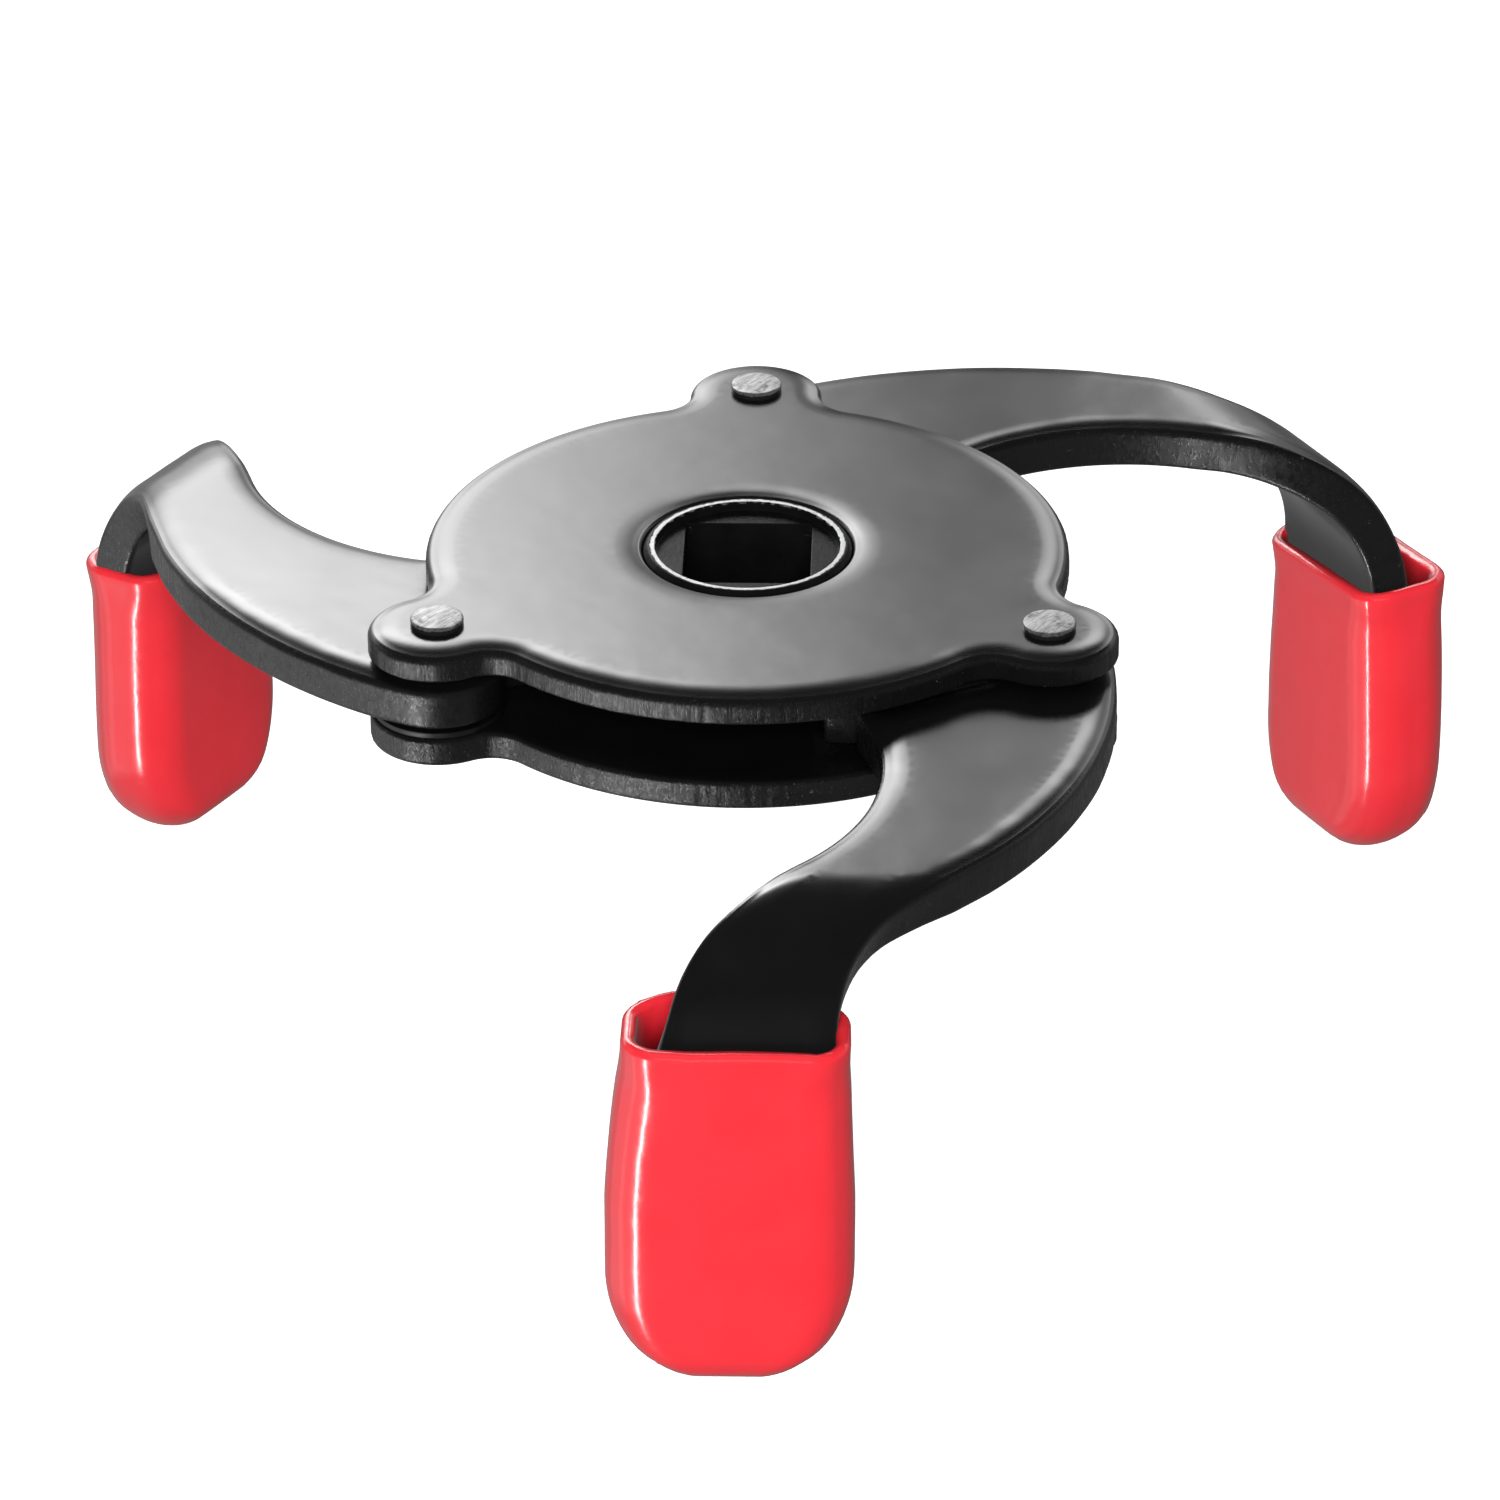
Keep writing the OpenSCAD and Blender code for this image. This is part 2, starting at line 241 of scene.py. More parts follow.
def add_mesh(name, points, faces, body, material, replaced=(), rim=None):
    """A smooth-shaded object from points in millimetres, riding on a body."""
    mesh = bpy.data.meshes.new(name)
    mesh.from_pydata([tuple(np.asarray(p) * MM) for p in points], [], faces)
    mesh.validate()
    if rim is not None:
        layer = mesh.attributes.new("rim", "FLOAT", "POINT")
        layer.data.foreach_set("value", np.asarray(rim, dtype=np.float32))
    mesh.polygons.foreach_set("use_smooth", [True] * len(mesh.polygons))
    mesh.materials.append(material)
    piece = bpy.data.objects.new(name, mesh)
    bpy.context.scene.collection.objects.link(piece)
    weighted = piece.modifiers.new("even_shading", "WEIGHTED_NORMAL")
    weighted.weight = 80
    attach(piece, body)
    if replaced:
        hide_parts(*replaced)
    return piece


def ripple(p, size, seed=0.0):
    """Smooth noise from -1 to 1, with lumps of about that size in millimetres."""
    return noise.noise(Vector((p[0] / size + seed, p[1] / size - seed, p[2] / size + 7.3)))


ARC_STEPS = 9
WALL_STEPS = 6
# Most that a roll may steepen where it is squeezed
STEEPEST = 1.6
# Share of the roll that stays smooth before the sheared wall's roughness starts
ROUGH_FROM = 0.3
# Most that the roughness may stand out of the wall
PROUD = 0.02


class Edge:
    """How a face rolls over into a wall: a shallow skirt that starts further in, then a tight roll."""

    def __init__(self, reach, drop, skirt_reach=0.0, skirt_drop=0.0):
        self.reach = max(reach, skirt_reach)
        self.drop = drop + skirt_drop
        self.rows = []
        if skirt_reach:
            fade = (skirt_reach - reach) / 2.2
            last = math.exp(-(skirt_reach - reach) / fade)
            for u in np.linspace(0, 1, 7)[:-1]:
                inset = skirt_reach + (reach - skirt_reach) * u
                sunk = (math.exp(-(inset - reach) / fade) - last) / (1 - last)
                self.rows.append((inset, skirt_drop * sunk, 0.0))
        for k in range(ARC_STEPS + 1):
            phi = k / ARC_STEPS * math.pi / 2
            inset, sunk = reach * (1 - math.sin(phi)), drop * (1 - math.cos(phi))
            self.rows.append((inset, skirt_drop + sunk, (k / ARC_STEPS) ** 1.5))


def wall_rows(upper, lower):
    """(inset share, which edge, drop share, rim) for each ring from the top face to the bottom face."""
    rows = [(inset / upper.reach, "upper", drop / upper.drop, rim) for inset, drop, rim in upper.rows]
    rows += [(0.0, "wall", k / WALL_STEPS, 1.0) for k in range(1, WALL_STEPS)]
    for inset, drop, rim in reversed(lower.rows):
        rows.append((inset / lower.reach, "lower", drop / lower.drop, rim))
    return rows


def slab_rings(loop, normal, top, bottom, upper, lower, streak, lump, seed):
    """Rings of points down one wall of a slab. normal points into the solid."""
    upper_room = room_for(loop, normal, upper.reach)
    lower_room = room_for(loop, normal, lower.reach)
    # Where there is less room, the roll is shallower too
    upper_drop = np.minimum(upper.drop, upper_room * upper.drop / upper.reach * STEEPEST)
    lower_drop = np.minimum(lower.drop, lower_room * lower.drop / lower.reach * STEEPEST)
    walk = np.cumsum(np.linalg.norm(loop - np.roll(loop, 1, axis=0), axis=1))
    rings, rims = [], []
    for share, part, drop, rim in wall_rows(upper, lower):
        if part == "upper":
            inset, z = upper_room * share, top - upper_drop * drop
        elif part == "wall":
            inset, z = 0 * upper_room, (top - upper_drop) * (1 - drop) + (bottom + lower_drop) * drop
        else:
            inset, z = lower_room * share, bottom + lower_drop * drop
        ring = []
        for i, p in enumerate(loop):
            push = 0.0
            if rim > ROUGH_FROM and (streak or lump):
                fade = (rim - ROUGH_FROM) / (1 - ROUGH_FROM)
                fine = noise.noise(Vector((walk[i] / 0.55, z[i] / 5.0, seed)))
                broad = noise.noise(Vector((walk[i] / 4.5, z[i] / 3.0, seed + 4)))
                push = fade * (streak * fine + lump * broad)
            q = p + normal[i] * (inset[i] + max(push, -PROUD))
            ring.append((q[0], q[1], z[i]))
        rings.append(np.array(ring))
        rims.append(rim)
    return rings, rims


def slab(outer, holes, top, bottom, upper, lower, hole_upper, spacing, streak=0.0, lump=0.0, seed=0.0):
    """A plate with rolled edges, as (points, faces, rim). Holes are closed loops too."""
    points, faces, rim = [], [], []
    first_rings, last_rings = [], []
    for number, loop in enumerate([outer] + list(holes)):
        is_hole = number > 0
        loop = np.asarray(loop)
        if (area(loop) > 0) == is_hole:
            loop = loop[::-1]
        if is_hole:
            into = outward(loop[::-1])[::-1]
            rings, rims = slab_rings(loop, into, top, bottom, hole_upper, lower, 0.0, 0.0, seed)
        else:
            rings, rims = slab_rings(loop, -outward(loop), top, bottom, upper, lower, streak, lump, seed)
        start = len(points)
        n = len(loop)
        for ring, value in zip(rings, rims):
            points += list(ring)
            rim += [value] * n
        for j in range(len(rings) - 1):
            a, b = start + j * n, start + (j + 1) * n
            for i in range(n):
                k = (i + 1) % n
                faces.append((a + i, b + i, b + k, a + k))
        first_rings.append(list(range(start, start + n)))
        last = start + (len(rings) - 1) * n
        last_rings.append(list(range(last, last + n)))
    add_face(points, faces, rim, first_rings, top, spacing, True)
    add_face(points, faces, rim, last_rings, bottom, spacing, False)
    return points, faces, rim


def between(points, loops):
    """For each point, whether it is inside the first loop and outside the others."""
    result = inside(points, loops[0])
    for loop in loops[1:]:
        result &= ~inside(points, loop)
    return result


def add_face(points, faces, rim, rings, height, spacing, is_top):
    """Closes a slab at one end with a flat face between its rings, in even triangles."""
    loops = [np.array([points[i][:2] for i in ring]) for ring in rings]
    flat, cells, origins = triangles(loops, grid_inside(loops, spacing))
    order = [i for ring in rings for i in ring]
    index = []
    for k, source in enumerate(origins):
        if source and source[0] < len(order):
            index.append(order[source[0]])
        else:
            index.append(len(points))
            points.append((flat[k][0], flat[k][1], height))
            rim.append(0.0)
    middles = np.array([flat[list(c)].mean(axis=0) for c in cells])
    for cell, kept in zip(cells, between(middles, loops)):
        if kept:
            corners = [index[i] for i in cell]
            faces.append(tuple(corners) if is_top else tuple(reversed(corners)))


def grid_inside(loops, spacing):
    """Points of a triangular grid inside the first loop and outside the others, clear of their edges."""
    low, high = loops[0].min(axis=0), loops[0].max(axis=0)
    rows = []
    row_step = spacing * 0.8
    for j, y in enumerate(np.arange(low[1] + row_step / 2, high[1], row_step)):
        shift = spacing / 2 if j % 2 else 0
        rows += [(x, y) for x in np.arange(low[0] + shift, high[0], spacing)]
    points = np.array(rows)
    points = points[between(points, loops)]
    edge = np.vstack(loops)
    gap = np.array([np.min(np.sum((edge - p) ** 2, axis=1)) for p in points])
    return points[gap > (0.45 * spacing) ** 2]


def circle(centre, r, steps=96):
    """A closed circle, without its first point repeated."""
    return np.array(arc(np.asarray(centre), r, 0, 360, steps)[:-1])


# The uneven part of a turned piece: the crown of a rivet's upper head
CROWN_R = 2.5
CROWN_FROM = 0.5


def revolved(profile, segments, wobble, seed):
    """Points and faces of a (radius, height) profile turned about Z, which starts and ends on the axis."""
    points, faces = [], []
    for r, z in profile[1:-1]:
        for k in range(segments):
            x, y = polar(r, 360 * k / segments)
            on_crown = r < CROWN_R and z > CROWN_FROM
            rise = wobble * ripple((x, y, z), 1.3, seed) if on_crown else 0.0
            points.append((x, y, z + rise))
    last = len(points) - segments
    for a in range(0, last, segments):
        b = a + segments
        for k in range(segments):
            n = (k + 1) % segments
            faces.append((a + n, b + n, b + k, a + k))
    for a, z, is_top in ((0, profile[0][1], True), (last, profile[-1][1], False)):
        tip = len(points)
        points.append((0, 0, z))
        for k in range(segments):
            n = (k + 1) % segments
            faces.append((a + k, tip, a + n) if is_top else (a + n, tip, a + k))
    return points, faces


# ---- Materials


class Nodes:
    """A short way to wire a node tree."""

    def __init__(self, tree):
        self.tree = tree

    def add(self, kind, inputs=(), **settings):
        node = self.tree.nodes.new(kind)
        for name, value in settings.items():
            setattr(node, name, value)
        for key, value in dict(inputs).items():
            self.put(node, key, value)
        return node

    def put(self, node, key, value):
        self.fill(node.inputs[key], value)

    def fill(self, socket, value):
        """Links another node's output to the socket, or sets a plain value on it."""
        if isinstance(value, bpy.types.NodeSocket):
            self.tree.links.new(value, socket)
        else:
            socket.default_value = value

    def math(self, operation, a, b=0.0, clamp=False):
        return self.add("ShaderNodeMath", {0: a, 1: b}, operation=operation, use_clamp=clamp).outputs[0]

    def ramp(self, value, low, high, start=0.0, stop=1.0):
        """Goes smoothly from start to stop as the value goes from low to high, and stays level outside."""
        limits = {"Value": value, "From Min": low, "From Max": high, "To Min": start, "To Max": stop}
        return self.add("ShaderNodeMapRange", limits, interpolation_type="SMOOTHSTEP").outputs[0]

    def noise(self, where, size, detail=3.0, roughness=0.55, stretch=(1, 1, 1)):
        """Noise from 0 to 1, with lumps of about that size in millimetres."""
        mapped = self.add("ShaderNodeMapping", {"Vector": where, "Scale": stretch}).outputs[0]
        inputs = {"Vector": mapped, "Scale": 1 / (size * MM), "Detail": detail, "Roughness": roughness}
        return self.add("ShaderNodeTexNoise", inputs).outputs["Fac"]

    def mix(self, factor, a, b):
        """A colour that goes from a to b."""
        node = self.add("ShaderNodeMix", {0: factor}, data_type="RGBA")
        sockets = [s for s in node.inputs if s.type == "RGBA"]
        for socket, value in zip(sockets, (a, b)):
            self.fill(socket, value)
        return [s for s in node.outputs if s.type == "RGBA"][0]

    def blend(self, factor, a, b):
        """A number that goes from a to b."""
        return self.add("ShaderNodeMix", {"Factor": factor, 2: a, 3: b}, data_type="FLOAT").outputs[0]


def new_material(name):
    """A material with its node helper, its shader, and the object's own coordinates in metres."""
    material = bpy.data.materials.new(name)
    material.use_nodes = True
    nodes = Nodes(material.node_tree)
    shader = material.node_tree.nodes["Principled BSDF"]
    place = nodes.add("ShaderNodeTexCoord").outputs["Object"]
    return material, nodes, shader, place


def black_coat(name, pits, streak_size, stretch, shine):
    """Glossy black coat: soft lumps on the pressed faces, streaks and pits on the sheared walls."""
    material, n, shader, place = new_material(name)
    rim = n.add("ShaderNodeAttribute", attribute_name="rim").outputs["Fac"]
    cloud = n.noise(place, 9.0, 2.0)
    peel = n.noise(place, 3.0, 2.0)
    grain = n.noise(place, 0.22, 4.0, 0.7)
    streaks = n.noise(place, streak_size, 5.0, 0.65, (1, 1, stretch))
    pit = n.ramp(n.noise(place, 0.42, 3.0, 0.7), 0.60, 0.70)
    wear = n.math("MULTIPLY", n.ramp(n.noise(place, 0.8, 5.0, 0.75), 0.64, 0.74), n.ramp(rim, 0.15, 0.6))
    dark = n.mix(cloud, (0.0025, 0.0025, 0.0027, 1), (0.006, 0.006, 0.0063, 1))
    n.put(shader, "Base Color", n.mix(n.math("MULTIPLY", wear, pits), dark, (0.16, 0.16, 0.165, 1)))
    face_rough = n.ramp(cloud, 0.3, 0.7, 0.19, 0.22)
    wall_rough = n.ramp(streaks, 0.3, 0.7, 0.18, 0.40)
    n.put(shader, "Roughness", n.blend(rim, face_rough, wall_rough))
    face_height = n.math("ADD", n.math("MULTIPLY", cloud, 0.22), n.math("MULTIPLY", peel, 0.04))
    wall_height = n.math("ADD", n.math("MULTIPLY", streaks, 0.30), n.math("MULTIPLY", grain, 0.12))
    wall_height = n.math("SUBTRACT", wall_height, n.math("MULTIPLY", pit, 0.10 * pits))
    height = n.blend(rim, face_height, wall_height)
    bump = n.add("ShaderNodeBump", {"Height": height, "Strength": 1.0, "Distance": 0.22 * MM})
    n.put(shader, "Normal", bump.outputs[0])
    shader.inputs["IOR"].default_value = 1.5
    shader.inputs["Specular IOR Level"].default_value = shine
    return material


def hub_coat():
    """The hub: dark in its socket and recess, with a bright machined ring, and bright bare-metal chips at the
    socket's upper corners that are partly wear and partly painted highlight.
    """
    material, n, shader, place = new_material("hub_coat")
    parts = n.add("ShaderNodeSeparateXYZ", {0: place}).outputs
    across = n.add("ShaderNodeCombineXYZ", {0: parts[0], 1: parts[1]}).outputs[0]
    radius = n.add("ShaderNodeVectorMath", {0: across}, operation="LENGTH").outputs["Value"]
    ragged = n.math("MULTIPLY", n.math("SUBTRACT", n.noise(place, 0.7, 4.0), 0.5), 0.5 * MM)
    edge = n.math("ADD", radius, ragged)
    past_recess = n.ramp(edge, 9.36 * MM, 9.44 * MM)
    before_chamfer = n.ramp(edge, 9.80 * MM, 9.92 * MM, 1, 0)
    on_top = n.ramp(parts[2], -0.25 * MM, -0.12 * MM)
    ring = n.math("MULTIPLY", n.math("MULTIPLY", past_recess, before_chamfer), on_top)
    # Partly wear and partly painted highlight: bright bare-metal chips near the socket's upper corners, where
    # the corners catch the light
    worn_chips_and_glints = n.ramp(n.noise(place, 0.9, 5.0, 0.8), 0.62, 0.68)
    corner = n.math("MINIMUM", n.math("ABSOLUTE", parts[0]), n.math("ABSOLUTE", parts[1]))
    corner_chip_and_glint_place = n.math("MULTIPLY", n.ramp(corner, 5.6 * MM, 6.3 * MM), n.ramp(parts[2], -4.0 * MM, -1.6 * MM))
    corner_chip_and_glint_place = n.math("MULTIPLY", corner_chip_and_glint_place, n.ramp(radius, 9.3 * MM, 9.2 * MM))
    bright = n.math("MAXIMUM", ring, n.math("MULTIPLY", worn_chips_and_glints, corner_chip_and_glint_place), True)
    cloud = n.noise(place, 3.0, 4.0)
    black = n.mix(cloud, (0.002, 0.002, 0.0022, 1), (0.007, 0.007, 0.0074, 1))
    silver = n.mix(n.noise(place, 0.5, 4.0), (0.24, 0.24, 0.243, 1), (0.46, 0.46, 0.465, 1))
    n.put(shader, "Base Color", n.mix(bright, black, silver))
    n.put(shader, "Metallic", bright)
    n.put(shader, "Roughness", n.blend(bright, n.ramp(cloud, 0.3, 0.7, 0.2, 0.32), 0.45))
    height = n.math("ADD", n.noise(place, 0.5, 4.0), n.math("MULTIPLY", n.noise(place, 0.12, 3.0), 0.4))
    bump = n.add("ShaderNodeBump", {"Height": height, "Strength": 0.5, "Distance": 0.06 * MM})
    n.put(shader, "Normal", bump.outputs[0])
    shader.inputs["Specular IOR Level"].default_value = 0.04
    return material


def rivet_steel():
    """Rivet heads: scraped bright on top, with dull patches, and black coat left on their sides."""
    material, n, shader, place = new_material("rivet_steel")
    parts = n.add("ShaderNodeSeparateXYZ", {0: place}).outputs
    slant = (0, 0, math.radians(38))
    slanted = n.add("ShaderNodeMapping", {"Vector": place, "Rotation": slant}).outputs[0]
    scratch = n.noise(slanted, 0.22, 5.0, 0.7, (1, 0.09, 1))
    fine = n.noise(slanted, 0.08, 3.0, 0.7, (1, 0.05, 1))
    patch = n.noise(place, 1.4, 5.0, 0.65)
    ragged = n.math("MULTIPLY", n.math("SUBTRACT", n.noise(place, 0.6, 4.0), 0.5), 0.4 * MM)
    middle = (HEAD_TOP + HEAD_BOTTOM) / 2 * MM
    half_height = (HEAD_TOP - HEAD_BOTTOM) / 2 * MM
    level = n.math("ADD", n.math("ABSOLUTE", n.math("ADD", parts[2], -middle)), ragged)
    bare = n.ramp(level, half_height - 0.42 * MM, half_height - 0.22 * MM)
    grey = n.mix(n.ramp(scratch, 0.3, 0.7), (0.14, 0.14, 0.14, 1), (0.38, 0.38, 0.385, 1))
    grey = n.mix(n.ramp(patch, 0.52, 0.66), grey, (0.09, 0.09, 0.09, 1))
    n.put(shader, "Base Color", n.mix(bare, (0.012, 0.012, 0.013, 1), grey))
    n.put(shader, "Metallic", n.math("MULTIPLY", bare, 0.85))
    n.put(shader, "Roughness", n.blend(bare, 0.25, n.ramp(fine, 0.3, 0.7, 0.36, 0.58)))
    height = n.math("ADD", n.math("MULTIPLY", scratch, 0.6), n.math("MULTIPLY", fine, 0.3))
    bump = n.add("ShaderNodeBump", {"Height": height, "Strength": 0.5, "Distance": 0.05 * MM})
    n.put(shader, "Normal", bump.outputs[0])
    return material


def plain_steel():
    """The spacing washers: dark oiled steel."""
    material, n, shader, place = new_material("plain_steel")
    cloud = n.noise(place, 2.0, 5.0)
    n.put(shader, "Base Color", n.mix(cloud, (0.02, 0.02, 0.021, 1), (0.06, 0.06, 0.062, 1)))
    shader.inputs["Metallic"].default_value = 0.9
    n.put(shader, "Roughness", n.ramp(cloud, 0.3, 0.7, 0.3, 0.5))
    grain = n.noise(place, 0.3, 4.0)
    bump = n.add("ShaderNodeBump", {"Height": grain, "Strength": 0.4, "Distance": 0.05 * MM})
    n.put(shader, "Normal", bump.outputs[0])
    return material


def red_vinyl():
    """Dipped red vinyl: glossy, slightly uneven, with painted shade that darkens it inside the sleeve."""
    material, n, shader, place = new_material("red_vinyl")
    cloud = n.noise(place, 7.0, 4.0)
    speck = n.noise(place, 0.8, 4.0)
    red = n.mix(cloud, (0.80, 0.020, 0.032, 1), (0.88, 0.035, 0.05, 1))
    # Painted shade: the sleeve's inside and the inner side of its lip are mixed towards a dark maroon
    painted_inside_shade = n.add("ShaderNodeAttribute", attribute_name="painted_inside_shade").outputs["Fac"]
    n.put(shader, "Base Color", n.mix(painted_inside_shade, red, (0.42, 0.004, 0.012, 1)))
    n.put(shader, "Roughness", n.ramp(speck, 0.3, 0.7, 0.17, 0.24))
    shader.inputs["IOR"].default_value = 1.52
    height = n.math("ADD", n.math("MULTIPLY", cloud, 0.30), n.math("MULTIPLY", speck, 0.004))
    bump = n.add("ShaderNodeBump", {"Height": height, "Strength": 0.8, "Distance": 0.5 * MM})
    n.put(shader, "Normal", bump.outputs[0])
    return material


# ---- Plates


def plate_outline():
    """Round body with three ears, each joined by two concave fillets."""
    fillet_d = PLATE_R + EAR_FILLET_R
    reach = EAR_R + EAR_FILLET_R
    cosine = (PIVOT_R ** 2 + fillet_d ** 2 - reach ** 2) / (2 * PIVOT_R * fillet_d)
    spread = math.degrees(math.acos(cosine))
    near = polar(fillet_d, PIVOT_ANGLE - spread)
    far = polar(fillet_d, PIVOT_ANGLE + spread)
    start, stop = heading(-near), heading(PIVOT - near)
    one_third = arc(near, EAR_FILLET_R, start, start - (start - stop) % 360, 12)
    start, stop = heading(near - PIVOT), heading(far - PIVOT)
    one_third += arc(PIVOT, EAR_R, start, start + (stop - start) % 360, 60)[1:]
    start, stop = heading(PIVOT - far), heading(-far)
    one_third += arc(far, EAR_FILLET_R, start, start - (start - stop) % 360, 12)[1:]
    start, stop = PIVOT_ANGLE + spread, PIVOT_ANGLE + ARM_STEP - spread
    one_third += arc(np.zeros(2), PLATE_R, start, stop, 90)[1:-1]
    return np.vstack([turned(one_third, k * ARM_STEP) for k in range(3)])


def make_plate(node, top, bottom, upper, lower, streak, lump, seed, material):
    """A pressed plate with the hub's hole in its middle."""
    outline = evenly(plate_outline(), 0.28)
    hub_hole = circle((0, 0), HUB_HOLE_R, 240)
    hole_edge = Edge(0.75, 0.6, 4.5, 0.22)
    # The rivets fill their own holes, so the plate's faces run on under the heads
    points, faces, rim = slab(outline, [hub_hole], top, bottom, upper, lower, hole_edge, 1.6,
                              streak, lump, seed)
    add_mesh(node + "_coat", points, faces, "frame", material, (node,), rim)


# ---- Arms


def involute(a):
    """The involute function of a pressure angle in degrees, in radians."""
    return math.tan(math.radians(a)) - math.radians(a)


def tooth(teeth):
    """One involute tooth that points along +X, for a wheel of that many teeth."""
    pitch_r = GEAR_MODULE * teeth / 2
    base_r = pitch_r * math.cos(math.radians(PRESSURE_ANGLE))
    root_r = pitch_r - (1 + ROOT_CLEARANCE) * GEAR_MODULE
    tip_r = pitch_r + GEAR_MODULE
    start_r = max(base_r, root_r)
    half_play = math.degrees(BACKLASH / 4 / pitch_r)
    half = 90 / teeth - half_play + math.degrees(involute(PRESSURE_ANGLE))
    flank = []
    for k in range(7):
        r = start_r + (tip_r - start_r) * k / 6
        flank.append((r, half - math.degrees(involute(math.degrees(math.acos(base_r / r))))))
    lower = [polar(root_r - 1, -flank[0][1])] + [polar(r, -a) for r, a in flank]
    upper = [polar(r, a) for r, a in reversed(flank)] + [polar(root_r - 1, flank[0][1])]
    return np.array(lower + upper)


def sector_loops():
    """The toothed sector about the pivot, as overlapping closed loops."""
    pitch = 360 / SECTOR_WHEEL_TEETH
    first = PIVOT_ANGLE + 180 - pitch / 2
    root_r = GEAR_MODULE * (SECTOR_WHEEL_TEETH / 2 - 1 - ROOT_CLEARANCE)
    start, stop = first - pitch / 2 + 2, first + (SECTOR_TEETH - 0.5) * pitch - 2
    loops = [np.array([np.zeros(2)] + arc(np.zeros(2), root_r, start, stop, 40))]
    loops += [turned(tooth(SECTOR_WHEEL_TEETH), first + k * pitch) for k in range(SECTOR_TEETH)]
    return [loop + PIVOT for loop in loops]


def arm_blank():
    """Outline of the whole flat blank, before its end is bent down."""
    foot = -BLANK_END
    # Outer edge: a large arc that touches the eye from outside, a blunt tip, then the neck's fillet
    outer_centre = np.array([-16.9, -20.85])
    outer_r = np.linalg.norm(PIVOT - outer_centre) + EYE_R
    outer_end = -46
    outer_tip_span = 6
    outer_tip = outer_centre + polar(outer_r, outer_end)
    outer_corner = np.array([LEG_RIGHT, -68.4])
    outer = arc(outer_centre, outer_r, heading(PIVOT - outer_centre), outer_end + outer_tip_span)
    outer += fillet(outer[-1], outer_tip, outer_corner, 30)
    outer += fillet(outer_tip, outer_corner, np.array([LEG_RIGHT, foot]), 15)
    # Inner edge: an arc clear of the next arm's eye, the neck's straight flank, and the leg's flare
    inner_centre = np.array([-12, -38.5])
    neck = np.array([-4.1, -68.1])
    flare = np.array([LEG_LEFT, -88.0])
    inner = arc(inner_centre, 25.8, 25, -45.5)
    inner += fillet(inner[-1], neck, flare, 20)
    inner += fillet(neck, flare, np.array([LEG_LEFT, foot]), 20)
    corner_y = foot + LEG_CORNER_R
    right_corner = arc(np.array([LEG_RIGHT - LEG_CORNER_R, corner_y]), LEG_CORNER_R, 0, -90, 16)
    left_corner = arc(np.array([LEG_LEFT + LEG_CORNER_R, corner_y]), LEG_CORNER_R, -90, -180, 16)
    body = np.array([PIVOT] + outer + right_corner + left_corner + inner[::-1])
    return united([body, circle(PIVOT, EYE_R)] + sector_loops())


def bent(points):
    """Blank points carried round the bend: what is past the fold line turns down into the leg."""
    result = []
    for x, y, z in points:
        past = -y - FOLD
        if past <= 0:
            result.append((x, y, z))
            continue
        depth = ARM_TOP - z
        angle = min(math.pi / 2, past / BEND_LENGTH * math.pi / 2)
        drop = max(0.0, past - BEND_LENGTH)
        r = BEND_R - depth
        result.append((x, -FOLD - r * math.sin(angle), ARM_TOP - BEND_R + r * math.cos(angle) - drop))
    return result


def turn_points(points, k):
    """Points of the front arm carried to arm number k."""
    points = np.asarray(points)
    return np.column_stack([turned(points[:, :2], k * ARM_STEP), points[:, 2]])


def make_arm(k, side, material):
    """A whole arm: its eye and toothed sector, the curved strip, and the bent leg."""
    outline = evenly(arm_blank(), 0.4)
    eye = circle(PIVOT, EYE_HOLE_R, 64)
    upper, lower, eye_edge = Edge(1.1, 0.85, 4.6, 0.36), Edge(0.6, 0.6), Edge(0.4, 0.4)
    streak, lump, seed = 0.03, 0.10, 11.0 + 3 * k
    points, faces, rim = slab(outline, [eye], ARM_TOP, ARM_TOP - ARM_T, upper, lower, eye_edge, 1.3,
                              streak, lump, seed)
    # The faces of the strip aren't quite flat: pressing leaves low swells
    points = np.array(points)
    for i, (x, y, z) in enumerate(points):
        swell = 0.10 * ripple((x, y, 0), 9.0, 3.1 * k) * (1 - rim[i])
        swell += 0.035 * ripple((x, y, 0), 3.2, 5.7 * k + 1) * (1 - rim[i])
        is_upper = z > ARM_TOP - ARM_T / 2
        # The top face is sunk a little, to keep its swells inside the strip's thickness
        sunk = 0.06 if z > ARM_TOP - 0.5 else 0
        points[i][2] = z + (swell if is_upper else -swell) * 0.5 - sunk
    points = turn_points(bent(points), k)
    name = "arm_%s_coat" % side
    add_mesh(name, points, faces, side + "_arm", material, ("arm_" + side,), rim)


# ---- Sleeves

# How one sleeve sits on its leg: the heights of its mouth on the outer face and on the filter side, the
# mouth's slant, the shift from the leg's middle, the taper, and the rounding of its foot at both corners
Fit = namedtuple("Fit", "outer_face filter_side slant shift taper left_foot_r right_foot_r")
FITS = {
    "front": Fit(-13.2, -13.3, 0.2, (0.05, 0.0), 2.0, 9.4, 9.8),
    "right": Fit(-20.1, -20.6, 0.7, (-0.45, -0.5), 1.4, 10.0, 9.0),
    "left": Fit(-18.5, -18.1, 0.25, (-0.6, 1.35), 1.4, 9.8, 9.4),
}
# How far below the mouth the sleeve starts to draw in towards it
TAPER_LENGTH = 18.0


